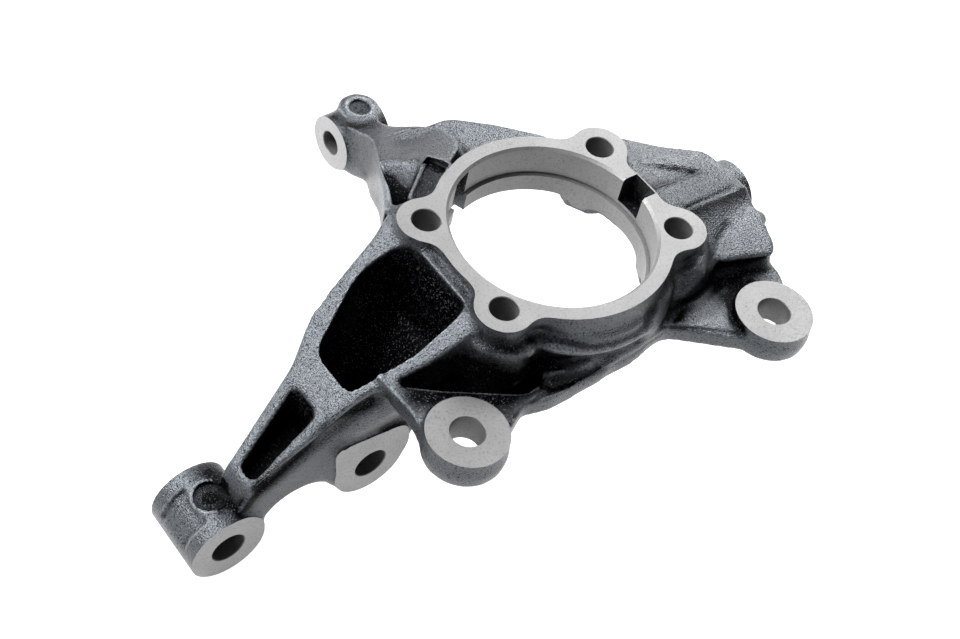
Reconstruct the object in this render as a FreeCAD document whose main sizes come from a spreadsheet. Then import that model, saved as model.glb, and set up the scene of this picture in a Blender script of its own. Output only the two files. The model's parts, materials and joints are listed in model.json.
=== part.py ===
import FreeCAD, Part
import math
import os

from FreeCAD import Rotation, Vector

# Steering knuckle: one iron casting, machined after casting.
# Frame: origin at the centre of the hub bore on the machined hub face, millimetres.
# +Z outboard along the hub axis, +X towards the caliper ears,
# +Y towards the ball joint, so the strut is at -Y and the tie rod at -X.

os.makedirs("parts", exist_ok=True)
doc = FreeCAD.newDocument("steering_knuckle")
sheet = doc.addObject("Spreadsheet::Sheet", "sizes")

# Driving dimensions, by region of the casting
sizes = {
    # hub ring and its four bolt lobes
    "bore_radius": 45.0,
    "bore_chamfer": 1.2,
    "lip_step": 1.5,
    "lip_depth": 15.5,
    "groove_width": 1.2,
    "groove_depth": 0.6,
    "ring_wall": 7.3,
    "ring_height": 24.0,
    "bolt_spacing_x": 54.6,
    "bolt_spacing_y": 95.0,
    "bolt_hole_radius": 6.2,
    "lobe_radius": 12.5,
    "lobe_blend": 8.5,
    "lobe_height": 31.0,
    "hub_cavity_radius": 50.0,
    # skirt, flange and caliper ears
    "bead_depth": 14.5,
    "bead_height": 11.0,
    "bead_width": 3.6,
    "pedestal_top": 7.0,
    "pedestal_step": 3.9,
    "pedestal_flare": 5.2,
    "skirt_flare": 5.0,
    "flange_bottom": 37.0,
    "flange_thickness": 9.5,
    "hollow_depth": 40.0,
    "hollow_shelf_depth": 33.0,
    "hollow_wall": 5.0,
    "ear_face_depth": 22.9,
    "ear_radius": 17.3,
    "ear_parting_radius": 18.2,
    "ear_parting_depth": 31.0,
    "ear_hole_radius": 7.25,
    "ear_upper_x": 57.9,
    "ear_upper_y": -83.6,
    "ear_lower_x": 71.9,
    "ear_lower_y": 73.1,
    # strut arm and its two bosses
    "strut_face_x": 17.6,
    "strut_boss_length": 32.6,
    "strut_boss_radius": 17.6,
    "strut_hole_radius": 7.7,
    "strut_top_y": -162.9,
    "strut_top_depth": 99.0,
    "strut_low_y": -93.2,
    "strut_low_depth": 87.2,
    "strut_pad_height": 21.0,
    "strut_dimple_radius": 7.0,
    "strut_dimple_depth": 2.6,
    "strut_panel_depth": 1.2,
    "rim_start_y": -58.0,
    "rim_start_depth": 4.0,
    "rim_slope": 33.7,
    "arm_side_x": 16.0,
    "relief_radius": 19.0,
    "pocket_draft": 2.0,
    "pocket_wall": 5.0,
    "pocket_outer_wall": 2.0,
    "big_pocket_depth": 68.0,
    "small_pocket_depth": 77.0,
    # steering arm
    "tie_x": -123.1,
    "tie_face_y": -25.5,
    "tie_depth": 50.0,
    "tie_boss_radius": 13.2,
    "tie_boss_length": 25.0,
    "tie_hole_radius": 5.7,
    "tie_pad_radius": 10.0,
    "tie_pad_height": 4.0,
    "tie_pad_shift": 1.5,
    "tie_pad_recess_radius": 4.8,
    "tie_pad_recess_depth": 2.0,
    "wing_top": 19.0,
    "wing_thickness": 11.0,
    # ball joint end
    "ball_x": 0.0,
    "ball_end_y": 115.0,
    "ball_depth": 33.5,
    "ball_boss_radius": 14.5,
    "ball_boss_length": 42.0,
    "ball_hole_radius": 8.0,
    "ball_hole_length": 34.0,
    "end_lug_x": 29.0,
    "end_lug_depth": 19.5,
    "end_lug_radius": 3.8,
    "end_lug_length": 16.0,
    "body_end_y": 103.0,
    "body_bottom": 46.0,
    "body_fall": 0.145,
    "rib_width": 15.0,
    "rib_side_x": 16.8,
    "valley_depth": 2.4,
    "facet_depth": 14.0,
    # sensor seat and the notch in the ring
    "sensor_angle": -156.0,
    "sensor_window_width": 10.6,
    "sensor_window_top": 1.5,
    "sensor_pocket_reach": 5.7,
    "sensor_roof": 4.5,
    "lip_inside": 39.0,
    "lug_top": 6.5,
    "lug_edge": 1.3,
    "lug_recess": 1.8,
    "notch_width": 13.0,
    "notch_depth": 12.7,
}
for row, (name, value) in enumerate(sizes.items(), start=1):
    sheet.set(f"A{row}", name)
    sheet.set(f"B{row}", str(value))
    sheet.setAlias(f"B{row}", name)
doc.recompute()

along_x = Vector(1, 0, 0)
along_y = Vector(0, 1, 0)
along_z = Vector(0, 0, 1)


def size(name):
    return float(sheet.get(name))


# Outlines: corners (u, v, rounding radius) joined by straight edges and tangent arcs.
# A corner that lies on a straight run has nothing to round.

def rounded_wire(corners, place):
    def unit(a, b):
        length = math.dist(a, b)
        return ((b[0] - a[0]) / length, (b[1] - a[1]) / length)

    count = len(corners)
    stations = []
    for index in range(count):
        before = corners[index - 1]
        here = corners[index]
        after = corners[(index + 1) % count]
        radius = here[2]
        if radius == 0:
            stations.append([(here[0], here[1])])
            continue
        back = unit(here[:2], before[:2])
        ahead = unit(here[:2], after[:2])
        cosine = back[0] * ahead[0] + back[1] * ahead[1]
        if cosine < -0.99999:
            stations.append([(here[0], here[1])])
            continue
        half = math.acos(min(1.0, cosine)) / 2
        setback = radius / math.tan(half)
        start = (here[0] + back[0] * setback, here[1] + back[1] * setback)
        end = (here[0] + ahead[0] * setback, here[1] + ahead[1] * setback)
        middle = (back[0] + ahead[0], back[1] + ahead[1])
        scale = (radius / math.sin(half) - radius) / math.hypot(*middle)
        crown = (here[0] + middle[0] * scale, here[1] + middle[1] * scale)
        stations.append([start, crown, end])
    edges = []
    for index in range(count):
        station = stations[index]
        following = stations[(index + 1) % count]
        if len(station) == 3:
            edges.append(Part.Arc(*[place(*point) for point in station]).toShape())
        edges.append(Part.makeLine(place(*station[-1]), place(*following[0])))
    return Part.Wire(edges)


def plan_prism(corners, top, bottom):
    wire = rounded_wire(corners, lambda u, v: Vector(u, v, bottom))
    return Part.Face(wire).extrude(Vector(0, 0, top - bottom))


def side_prism(corners, low_x, high_x):
    wire = rounded_wire(corners, lambda u, v: Vector(low_x, u, v))
    return Part.Face(wire).extrude(Vector(high_x - low_x, 0, 0))


def front_prism(corners, low_y, high_y, fall=0.0):
    wire = rounded_wire(corners, lambda u, v: Vector(u, low_y, v))
    return Part.Face(wire).extrude(Vector(0, high_y - low_y, -fall))


def turned(profile, centre=(0.0, 0.0)):
    wire = Part.makePolygon([Vector(centre[0] + r, centre[1], z) for r, z in profile + profile[:1]])
    return Part.Face(wire).revolve(Vector(centre[0], centre[1], 0), Vector(0, 0, 1), 360)


def tapered_pocket(corners, top, bottom, draft):
    shrink = (top - bottom) * math.tan(math.radians(draft))
    mouth = rounded_wire(corners, lambda u, v: Vector(u, v, top))
    floor = mouth.makeOffset2D(-shrink)
    floor.translate(Vector(0, 0, bottom - top))
    return Part.makeLoft([mouth, floor], True)


def feature(name, shape):
    item = doc.addObject("Part::Feature", name)
    item.Shape = shape
    return item


def cylinder(name, radius, length, base, axis):
    item = doc.addObject("Part::Cylinder", name)
    item.setExpression("Radius", radius)
    item.setExpression("Height", length)
    item.Placement.Rotation = Rotation(along_z, axis)
    for letter, expression in zip("xyz", base):
        item.setExpression(f".Placement.Base.{letter}", expression)
    return item


def cone(name, lower_radius, upper_radius, length, base):
    item = doc.addObject("Part::Cone", name)
    item.setExpression("Radius1", lower_radius)
    item.setExpression("Radius2", upper_radius)
    item.setExpression("Height", length)
    for letter, expression in zip("xyz", base):
        item.setExpression(f".Placement.Base.{letter}", expression)
    return item


# Hub ring with four lobes, blended where each lobe leaves the ring
ring_radius = size("bore_radius") + size("ring_wall")
half_x = size("bolt_spacing_x") / 2
half_y = size("bolt_spacing_y") / 2
lobe_centres = [(x, y) for x in (-half_x, half_x) for y in (-half_y, half_y)]


def hub_ring():
    height = size("ring_height")
    solid = Part.makeCylinder(ring_radius, height, Vector(0, 0, -height))
    for x, y in lobe_centres:
        solid = solid.fuse(Part.makeCylinder(size("lobe_radius"), height, Vector(x, y, -height)))
    solid = solid.removeSplitter()
    corners = [
        edge
        for edge in solid.Edges
        if len(edge.Vertexes) == 2
        and abs(edge.Vertexes[0].Z - edge.Vertexes[1].Z) > height / 2
        and math.hypot(edge.CenterOfMass.x, edge.CenterOfMass.y) < ring_radius + 0.5
        and isinstance(edge.Curve, Part.Line)
        and min(math.dist((edge.CenterOfMass.x, edge.CenterOfMass.y), centre) for centre in lobe_centres)
        < size("lobe_radius") + 0.01
    ]
    return solid.makeFillet(size("lobe_blend"), corners)


hub = feature("hub_ring", hub_ring())

lobes = [
    cylinder(f"lobe_{index}", "sizes.lobe_radius", "sizes.lobe_height",
             (f"{sign_x} * sizes.bolt_spacing_x / 2", f"{sign_y} * sizes.bolt_spacing_y / 2",
              "-sizes.lobe_height"), along_z)
    for index, (sign_x, sign_y) in enumerate([(-1, -1), (1, -1), (1, 1), (-1, 1)], start=1)
]

# Skirt on the caliper side, from the ring down to the flange
flange_bottom = size("flange_bottom")
flange_top = flange_bottom - size("flange_thickness")
cavity = Part.makeCylinder(size("hub_cavity_radius"), 60, Vector(0, 0, -60 - size("ring_height")))
bead_top = -size("bead_depth") + size("bead_height") / 2
bead_foot = -size("bead_depth") - size("bead_height") / 2
crown = ring_radius + size("bead_width")
skirt_body = turned([
    (0.0, 0.0),
    (ring_radius, 0.0),
    (ring_radius, bead_top),
    (crown, -size("bead_depth") + 1.5),
    (crown, -size("bead_depth") - 1.5),
    (crown - 1.0, bead_foot),
    (ring_radius + size("skirt_flare"), -flange_bottom),
    (0.0, -flange_bottom),
])

# Pedestal under each of the two lobes on that side
lobe_radius = size("lobe_radius")
pedestal_radius = lobe_radius + size("pedestal_step")
pedestal_top = -size("pedestal_top")
pedestal_foot = -size("hollow_depth") - size("hollow_wall")
for (x, y), flare in zip(lobe_centres[2:], (0.0, size("pedestal_flare"))):
    skirt_body = skirt_body.fuse(turned([
        (0.0, 0.0),
        (lobe_radius, 0.0),
        (lobe_radius, pedestal_top),
        (pedestal_radius, pedestal_top - size("pedestal_step")),
        (pedestal_radius + 0.1 * flare, pedestal_top - 2.5 * size("pedestal_step")),
        (pedestal_radius + flare, -flange_top),
        (pedestal_radius + flare, pedestal_foot),
        (0.0, pedestal_foot),
    ], (x, y)))
skirt_side = Part.makeBox(90, 143, flange_bottom - 1.5, Vector(14, -68, -flange_bottom))
skirt = feature("skirt", skirt_body.common(skirt_side).cut(cavity))

# Flange that carries the two caliper ears
upper_ear = (size("ear_upper_x"), size("ear_upper_y"))
lower_ear = (size("ear_lower_x"), size("ear_lower_y"))
ear_edge = size("ear_radius")
flange_outline = [
    (12.0, 30.0, 0),
    (12.0, upper_ear[1] - ear_edge + 4.0, 0),
    (upper_ear[0] - 18.0, upper_ear[1] - ear_edge + 6.0, 30),
    (upper_ear[0] - 2.0, upper_ear[1] - ear_edge, 0),
    (upper_ear[0] + ear_edge - 2.0, upper_ear[1], 0),
    (upper_ear[0] - 2.0, -52.0, 6),
    (59.0, -40.0, 30),
    (58.0, -14.0, 60),
    (53.0, 29.0, 12),
    (lower_ear[0] + 3.0, lower_ear[1] - ear_edge, 0),
    (lower_ear[0], lower_ear[1], 0),
    (lower_ear[0] - 6.0, lower_ear[1] + ear_edge - 0.5, 0),
    (54.0, 95.5, 14),
    (30.0, 98.0, 0),
    (12.0, 70.0, 0),
]
flange_block = plan_prism(flange_outline, -flange_top, -flange_bottom).cut(cavity)

# Hollow between the ring's bead and the upper ear, with a bowl of its own below the flange
hollow_outline = [
    (23.5, -92.0, 6),
    (51.0, -46.0, 8),
    (44.0, -30.0, 0),
    (20.0, -50.0, 0),
]
bowl_outline = [
    (18.0, -83.5, 0),
    (27.0, -86.0, 12),
    (53.0, -44.0, 12),
    (44.0, -28.0, 0),
    (18.0, -48.0, 0),
]
shelf_outline = [
    (21.5, -93.5, 1.5),
    (34.0, -76.5, 40),
    (52.5, -47.0, 8),
    (44.0, -30.0, 0),
    (18.0, -50.0, 0),
]
hub_side = Part.makeCylinder(crown, -pedestal_foot, Vector(0, 0, pedestal_foot))
hollow = plan_prism(hollow_outline, 0, -size("hollow_depth"))
hollow = hollow.fuse(plan_prism(shelf_outline, 0, -size("hollow_shelf_depth")))
hollow = hollow.cut(skirt_body).cut(hub_side)
bowl = plan_prism(bowl_outline, -flange_top, -size("hollow_depth") - size("hollow_wall")).cut(cavity)
flange = feature("flange", flange_block.fuse(bowl).cut(hollow))

ears = []
for name in ("upper", "lower"):
    centre = (f"sizes.ear_{name}_x", f"sizes.ear_{name}_y")
    ears.append(cone(f"ear_{name}_top", "sizes.ear_parting_radius", "sizes.ear_radius",
                     "sizes.ear_parting_depth - sizes.ear_face_depth",
                     centre + ("-sizes.ear_parting_depth",)))
    ears.append(cone(f"ear_{name}_foot", "sizes.ear_radius", "sizes.ear_parting_radius",
                     "sizes.flange_bottom - sizes.ear_parting_depth", centre + ("-sizes.flange_bottom",)))

# Strut arm: what its plan, its side view and its front view have in common
slope = math.tan(math.radians(size("rim_slope")))
top_y = size("strut_top_y")
top_z = -size("strut_top_depth")
low_y = size("strut_low_y")
low_z = -size("strut_low_depth")
side_x = size("arm_side_x")
boss_radius = size("strut_boss_radius")
boss_back_x = size("strut_face_x") - size("strut_boss_length")


def rim_z(y):
    return -size("rim_start_depth") + slope * (y - size("rim_start_y"))


arm_plan = [
    (29.0, -30.0, 0),
    (28.5, -58.0, 0),
    (24.8, -79.0, 30),
    (side_x, -107.0, 40),
    (side_x, top_y, 0),
    (-2.0, top_y, 0),
    (-2.0, top_y + 10.0, 6),
    (-16.5, -116.0, 20),
    (-29.5, -99.0, 9),
    (-37.0, -66.0, 20),
    (-45.0, -48.0, 0),
    (-36.0, -30.0, 0),
]
arm_side = [
    (-30.0, -size("rim_start_depth"), 0),
    (size("rim_start_y"), -size("rim_start_depth"), 12),
    (top_y + 9.0, rim_z(top_y + 9.0), 5),
    (top_y + 2.0, top_z + boss_radius - 3.0, 0),
    (top_y + 7.0, top_z - boss_radius + 6.0, 0),
    (low_y - 12.0, low_z - boss_radius + 12.0, 0),
    (low_y + 17.0, low_z - 8.0, 12),
    (-56.0, -45.0, 20),
    (-30.0, -34.0, 0),
]
arm_front = [
    (-46.0, 0.0, 0),
    (-31.0, -27.0, 0),
    (boss_back_x + 1.0, -62.0, 12),
    (boss_back_x + 2.0, -125.0, 0),
    (side_x, -125.0, 0),
    (side_x, low_z + size("strut_pad_height"), 0),
    (30.0, -22.0, 30),
    (30.0, 0.0, 0),
]
arm_block = plan_prism(arm_plan, 0, -125)
arm_block = arm_block.common(side_prism(arm_side, -60, 60))
arm_block = arm_block.common(front_prism(arm_front, -190, -20))
relief = Part.makeCylinder(size("relief_radius"), 80, Vector(-40, (top_y + low_y) / 2, -103), along_x)
arm_block = arm_block.cut(relief).cut(cavity)
arm = feature("strut_arm", arm_block)

strut_bosses = []
for name in ("top", "low"):
    strut_bosses.append(cylinder(
        f"strut_boss_{name}", "sizes.strut_boss_radius", "sizes.strut_boss_length",
        ("sizes.strut_face_x - sizes.strut_boss_length", f"sizes.strut_{name}_y",
         f"-sizes.strut_{name}_depth"), along_x))
pad_outline = [
    (low_y - boss_radius + 1.0, low_z, 0),
    (low_y - boss_radius - 2.5, low_z + size("strut_pad_height"), 3),
    (low_y + boss_radius - 1.0, low_z + size("strut_pad_height") - 3.5, 7),
    (low_y + boss_radius + 1.8, low_z + 3.0, 12),
    (low_y + boss_radius - 3.0, low_z - 10.0, 0),
]
strut_pad = feature("strut_pad", side_prism(pad_outline, boss_back_x, size("strut_face_x")))

# Steering arm, its boss and the wing behind it
tie_x = size("tie_x")
tie_y = size("tie_face_y")
tie_z = -size("tie_depth")
tie_end_y = tie_y + size("tie_boss_length")
wing_z = -size("wing_top")
steer_plan = [
    (-36.0, -40.0, 0),
    (-44.0, -56.0, 0),
    (-60.0, -46.0, 40),
    (-97.0, tie_y + 2.0, 20),
    (tie_x + 4.0, tie_y + 2.0, 0),
    (tie_x, tie_y + 6.0, 0),
    (tie_x, tie_end_y - 2.0, 0),
    (-104.0, -12.0, 10),
    (-91.0, 1.8, 12),
    (-66.0, 2.5, 14),
    (-53.0, -16.0, 6),
    (-36.0, -18.0, 0),
]
steer_front = [
    (-30.0, -5.0, 0),
    (-54.0, -5.0, 14),
    (-100.0, -26.0, 20),
    (tie_x, tie_z + 12.5, 0),
    (tie_x - 6.0, tie_z, 0),
    (tie_x, tie_z - 12.5, 0),
    (-108.0, tie_z - 9.0, 10),
    (-80.0, -43.0, 40),
    (-52.0, -21.0, 20),
    (-30.0, -24.0, 0),
]
steer_block = plan_prism(steer_plan, 0, -70).common(front_prism(steer_front, -70, 70)).cut(cavity)

# Valley that falls from the steering arm's top to the first hub lobe, beside the sensor lug
well_outline = [
    (-42.0, -52.5, 0),
    (-60.0, -43.5, 20),
    (-86.0, -30.0, 0),
    (-86.0, -4.0, 0),
    (-62.0, -12.0, 0),
    (-62.0, -24.0, 6),
    (-40.0, -46.0, 0),
]
well_floor = [
    (-2.0, 5.0, 0),
    (-2.0, -2.0, 0),
    (-18.0, -7.0, 30),
    (-36.0, -17.0, 30),
    (-58.0, -34.0, 0),
    (-58.0, 5.0, 0),
]
well = plan_prism(well_outline, 5, -35).common(side_prism(well_floor, -90, -30))

# Sensor lug beside the ring, recessed inside a thin raised edge
lug_outline = [
    (-38.0, -42.0, 0),
    (-46.0, -42.5, 3),
    (-63.5, -20.0, 4),
    (-56.0, -14.0, 3),
    (-44.0, -14.0, 0),
]
lug_block = plan_prism(lug_outline, -size("lug_top"), -size("ring_height"))
lug_inside = rounded_wire(lug_outline, lambda u, v: Vector(u, v, 0)).makeOffset2D(-size("lug_edge"))
lug_recess = Part.Face(lug_inside).extrude(Vector(0, 0, -size("lug_top") - size("lug_recess")))
slot_outline = [
    (-60.5, -25.5, 1),
    (-62.2, -20.4, 1),
    (-53.5, -16.4, 1),
    (-52.0, -20.5, 1),
]
lug_slot = plan_prism(slot_outline, 0, -size("lug_top") - 2.6 * size("lug_recess"))
lug = feature("sensor_lug", lug_block.cut(lug_recess).cut(lug_slot))

lug_space = plan_prism(lug_outline, 0, -size("lug_top")).fuse(lug_recess).fuse(lug_slot)
steer = feature("steering_arm", steer_block.cut(well).cut(lug_space))
tie_boss = cylinder("tie_boss", "sizes.tie_boss_radius", "sizes.tie_boss_length",
                    ("sizes.tie_x", "sizes.tie_face_y", "-sizes.tie_depth"), along_y)
tie_pad_y = "sizes.tie_face_y + sizes.tie_boss_length / 2 + sizes.tie_pad_shift"
tie_pad = cylinder("tie_pad", "sizes.tie_pad_radius", "sizes.tie_boss_radius + sizes.tie_pad_height",
                   ("sizes.tie_x", tie_pad_y, "-sizes.tie_depth"), along_z)

wing_outline = [
    (-36.0, 30.0, 0),
    (-36.0, -20.0, 0),
    (-80.0, -20.0, 0),
    (-90.0, -16.0, 4),
    (-88.5, 12.0, 14),
    (-76.0, 28.5, 40),
    (-58.0, 47.0, 12),
    (-36.0, 51.0, 0),
]
wing = feature("wing", plan_prism(wing_outline, wing_z, wing_z - size("wing_thickness")).cut(cavity))

# Lower body that carries the ball joint boss
body_end = size("body_end_y")
body_bottom = -size("body_bottom")
body_plan = [
    (-30.0, 34.0, 0),
    (-46.0, 52.0, 0),
    (-40.0, 67.5, 8),
    (-23.5, 81.5, 40),
    (-9.5, body_end - 2.5, 8),
    (19.0, body_end, 8),
    (45.0, 98.0, 10),
    (53.0, 90.0, 4),
    (46.0, 30.0, 0),
]
body_side = [
    (20.0, -2.5, 0),
    (body_end, -2.5, 0),
    (body_end, body_bottom, 6),
    (72.0, body_bottom, 20),
    (52.0, -33.0, 20),
    (20.0, -33.0, 0),
]
rib_side = size("rib_side_x")
body_front = [
    (-50.0, -9.0, 0),
    (-31.0, -4.5, 20),
    (-10.5, 0.0, 4),
    (rib_side, 0.0, 2),
    (rib_side + 1.5, -2.5, 2),
    (35.0, -9.5, 0),
    (42.0, -13.0, 3),
    (43.5, 2.0 - flange_top, 3),
    (60.0, -flange_top, 0),
    (60.0, 10.0 - flange_bottom, 0),
    (24.0, 10.0 + body_bottom, 10),
    (-24.0, 10.0 + body_bottom, 10),
    (-50.0, -24.0, 0),
]
body_block = plan_prism(body_plan, 0, body_bottom - 1)
body_block = body_block.common(side_prism(body_side, -70, 90))
body_block = body_block.common(front_prism(body_front, 30, 130, 100 * size("body_fall")))

# Shallow valley in its top, which narrows from the notch in the ring towards the end
valley_outline = [
    (rib_side - size("rib_width"), 44.0, 0),
    (rib_side - size("rib_width") - 1.5, 88.0, 1),
    (-17.0, 60.0, 3),
    (-14.0, 44.0, 0),
]
valley_floor = [
    (-30.0, -size("valley_depth"), 0),
    (20.0, -size("valley_depth"), 0),
    (20.0, 20.0, 0),
    (-30.0, 20.0, 0),
]
valley = plan_prism(valley_outline, 5, -30)
valley = valley.common(front_prism(valley_floor, 30, 130, 100 * size("body_fall")))

# Raised facet at the far end, which ends in a steep step above the lower ear's plate
facet_depth = size("facet_depth")
facet_outline = [
    (24.0, 90.0, 0),
    (30.0, 78.0, 0),
    (36.0, 66.0, 3),
    (41.4, 65.0, 1.5),
    (50.0, 91.4, 3),
    (45.5, 95.5, 6),
    (26.0, 101.8, 3),
]
facet_front = [
    (20.0, -facet_depth, 0),
    (30.0, -facet_depth, 0),
    (55.0, -facet_depth - 3.8, 0),
    (55.0, -flange_top - 2.0, 0),
    (20.0, -flange_top - 2.0, 0),
]
facet = plan_prism(facet_outline, 0, body_bottom).common(front_prism(facet_front, 30, 130))
body = feature("lower_body", body_block.cut(valley).fuse(facet).cut(cavity))
ball_boss = cylinder("ball_boss", "sizes.ball_boss_radius", "sizes.ball_boss_length",
                     ("sizes.ball_x", "sizes.ball_end_y - sizes.ball_boss_length",
                      "-sizes.ball_depth"), along_y)
ball_trimmed = doc.addObject("Part::Cut", "ball_boss_trimmed")
ball_trimmed.Base = ball_boss
ball_trimmed.Tool = feature("hub_cavity", cavity)

end_lug = cylinder("end_lug", "sizes.end_lug_radius", "sizes.end_lug_length",
                   ("sizes.end_lug_x", "sizes.body_end_y + 0.5 - sizes.end_lug_length",
                    "-sizes.end_lug_depth"), along_y)

casting = doc.addObject("Part::MultiFuse", "raw_casting")
casting.Shapes = [
    hub, *lobes, skirt, flange, *ears, arm, *strut_bosses, strut_pad,
    steer, tie_boss, tie_pad, wing, body, ball_trimmed, end_lug, lug,
]

# Cast pockets in the strut arm
big_pocket_outline = [
    (-25.5, -56.8, 11),
    (17.0, -56.8, 5),
    (18.6, -80.0, 22),
    (12.0, -108.4, 6),
    (-14.5, -108.4, 11),
    (-29.5, -78.0, 22),
]
small_pocket_outline = [
    (-9.5, -118.6, 3),
    (9.2, -118.6, 5),
    (13.8, -152.8, 4.5),
    (2.2, -152.8, 4.5),
]
draft = size("pocket_draft")
pocket_floor = [
    (-40.0, 20.0, 0),
    (-40.0, -34.0, 0),
    (-61.0, -44.0, 8),
    (-80.0, -size("big_pocket_depth"), 10),
    (-113.5, -size("big_pocket_depth"), 0),
    (-113.5, -66.0, 0),
    (-132.0, -69.0, 10),
    (-149.0, -size("small_pocket_depth"), 4),
    (-160.0, -size("small_pocket_depth"), 0),
    (-160.0, 20.0, 0),
]
pocket_tools = tapered_pocket(big_pocket_outline, 0.0, -90.0, draft)
pocket_tools = pocket_tools.fuse(tapered_pocket(small_pocket_outline, -20.0, -90.0, draft))
wall = size("pocket_wall")
pocket_side_x = side_x - size("pocket_outer_wall")
pocket_front = [
    (-46.0 + wall, 20.0, 0),
    (-46.0 + wall, 0.0, 0),
    (-31.0 + wall, -27.0, 0),
    (boss_back_x + 2.0 + wall, -62.0, 8),
    (boss_back_x + 2.0 + wall, -125.0, 0),
    (pocket_side_x, -125.0, 0),
    (pocket_side_x, low_z + size("strut_pad_height"), 0),
    (pocket_side_x + 13.0, -22.0, 20),
    (pocket_side_x + 13.0, 20.0, 0),
]
pocket_tools = pocket_tools.common(side_prism(pocket_floor, -60, 60))
pockets = feature("arm_pockets", pocket_tools.common(front_prism(pocket_front, -190, -20)))

# Machining: bore, faces and holes
cuts = [
    pockets,
    cylinder("bore", "sizes.bore_radius", "sizes.lip_depth + 1", ("0", "0", "-sizes.lip_depth"), along_z),
    cylinder("lip_bore", "sizes.bore_radius - sizes.lip_step", "100", ("0", "0", "-90"), along_z),
    cylinder("bore_groove", "sizes.bore_radius + sizes.groove_depth", "sizes.groove_width",
             ("0", "0", "-sizes.lip_depth"), along_z),
    cone("bore_mouth", "sizes.bore_radius", "sizes.bore_radius + sizes.bore_chamfer + 0.5",
         "sizes.bore_chamfer + 0.5", ("0", "0", "-sizes.bore_chamfer")),
]
for index, (sign_x, sign_y) in enumerate([(-1, -1), (1, -1), (1, 1), (-1, 1)], start=1):
    centre = (f"{sign_x} * sizes.bolt_spacing_x / 2", f"{sign_y} * sizes.bolt_spacing_y / 2")
    cuts.append(cylinder(f"bolt_hole_{index}", "sizes.bolt_hole_radius", "80", centre + ("-70",), along_z))
for name in ("upper", "lower"):
    centre = (f"sizes.ear_{name}_x", f"sizes.ear_{name}_y")
    cuts.append(cylinder(f"ear_hole_{name}", "sizes.ear_hole_radius", "60", centre + ("-60",), along_z))
for name in ("top", "low"):
    cuts.append(cylinder(f"strut_hole_{name}", "sizes.strut_hole_radius", "sizes.strut_boss_length + 4",
                         ("sizes.strut_face_x - sizes.strut_boss_length - 2", f"sizes.strut_{name}_y",
                          f"-sizes.strut_{name}_depth"), along_x))
cuts.append(cylinder("tie_hole", "sizes.tie_hole_radius", "sizes.tie_boss_length + 4",
                     ("sizes.tie_x", "sizes.tie_face_y - 2", "-sizes.tie_depth"), along_y))
cuts.append(cylinder("tie_pad_recess", "sizes.tie_pad_recess_radius", "sizes.tie_pad_recess_depth + 1",
                     ("sizes.tie_x", tie_pad_y, "sizes.tie_boss_radius + sizes.tie_pad_height"
                      " - sizes.tie_pad_recess_depth - sizes.tie_depth"), along_z))
cuts.append(cylinder("ball_hole", "sizes.ball_hole_radius", "sizes.ball_hole_length + 2",
                     ("sizes.ball_x", "sizes.ball_end_y - sizes.ball_hole_length",
                      "-sizes.ball_depth"), along_y))

# Cast dimple on top of the upper strut boss and a shallow panel round its outer end
cuts.append(cylinder("strut_dimple", "sizes.strut_dimple_radius", "sizes.strut_dimple_depth + 6",
                     ("sizes.strut_face_x - sizes.strut_boss_length / 2", "sizes.strut_top_y",
                      "sizes.strut_boss_radius - sizes.strut_top_depth - sizes.strut_dimple_depth"), along_z))
panel_low_x = boss_back_x + size("strut_boss_length") / 4
panel_length = size("strut_boss_length") / 2
panel_start = Vector(panel_low_x, top_y, top_z)
panel_core = Part.makeCylinder(boss_radius - size("strut_panel_depth"), panel_length, panel_start, along_x)
panel_ring = Part.makeCylinder(boss_radius + 2, panel_length, panel_start, along_x).cut(panel_core)
panel_box = Part.makeBox(panel_length, 2 * boss_radius, 2 * boss_radius,
                         Vector(panel_low_x, top_y - 8.0 - 2 * boss_radius, top_z + 4.0))
cuts.append(feature("strut_panel", panel_ring.common(panel_box)))

# Milled seats either side of the lower strut boss
seat_outline = [
    (low_y - boss_radius - 3.0, low_z - boss_radius - 6.0, 0),
    (low_y - boss_radius - 3.0, low_z + size("strut_pad_height"), 0),
    (low_y + boss_radius + 3.0, low_z + size("strut_pad_height"), 0),
    (low_y + boss_radius + 3.0, low_z - boss_radius - 6.0, 0),
]
outer_seat = side_prism(seat_outline, size("strut_face_x"), size("strut_face_x") + 12)
inner_seat = side_prism(seat_outline, boss_back_x - 14, boss_back_x)
cuts.append(feature("strut_seats", outer_seat.fuse(inner_seat)))

# Sensor pocket, open to the bore and to the inboard side, and the notch between the two lower lobes
window_width = size("sensor_window_width")


def radial_box(low_radius, high_radius, top):
    corner = Vector(low_radius, -window_width / 2, top - 60)
    return Part.makeBox(high_radius - low_radius, window_width, 60, corner)


recess_floor = -size("lug_top") - size("lug_recess")
window = radial_box(size("lip_inside"), ring_radius + 1.0, -size("sensor_window_top"))
pocket_radius = ring_radius + size("sensor_pocket_reach")
window = window.fuse(radial_box(ring_radius, pocket_radius, recess_floor - size("sensor_roof")))
window.rotate(Vector(0, 0, 0), along_z, size("sensor_angle"))
cuts.append(feature("sensor_window", window))
notch = Part.makeBox(size("notch_width"), 12, size("notch_depth") + 2,
                     Vector(-size("notch_width") / 2, size("bore_radius") - 5, -size("notch_depth")))
cuts.append(feature("ring_notch", notch))

machining = doc.addObject("Part::MultiFuse", "machining")
machining.Shapes = cuts
knuckle = doc.addObject("Part::Cut", "knuckle")
knuckle.Base = casting
knuckle.Tool = machining
knuckle.Label = "knuckle"
doc.recompute()

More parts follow.
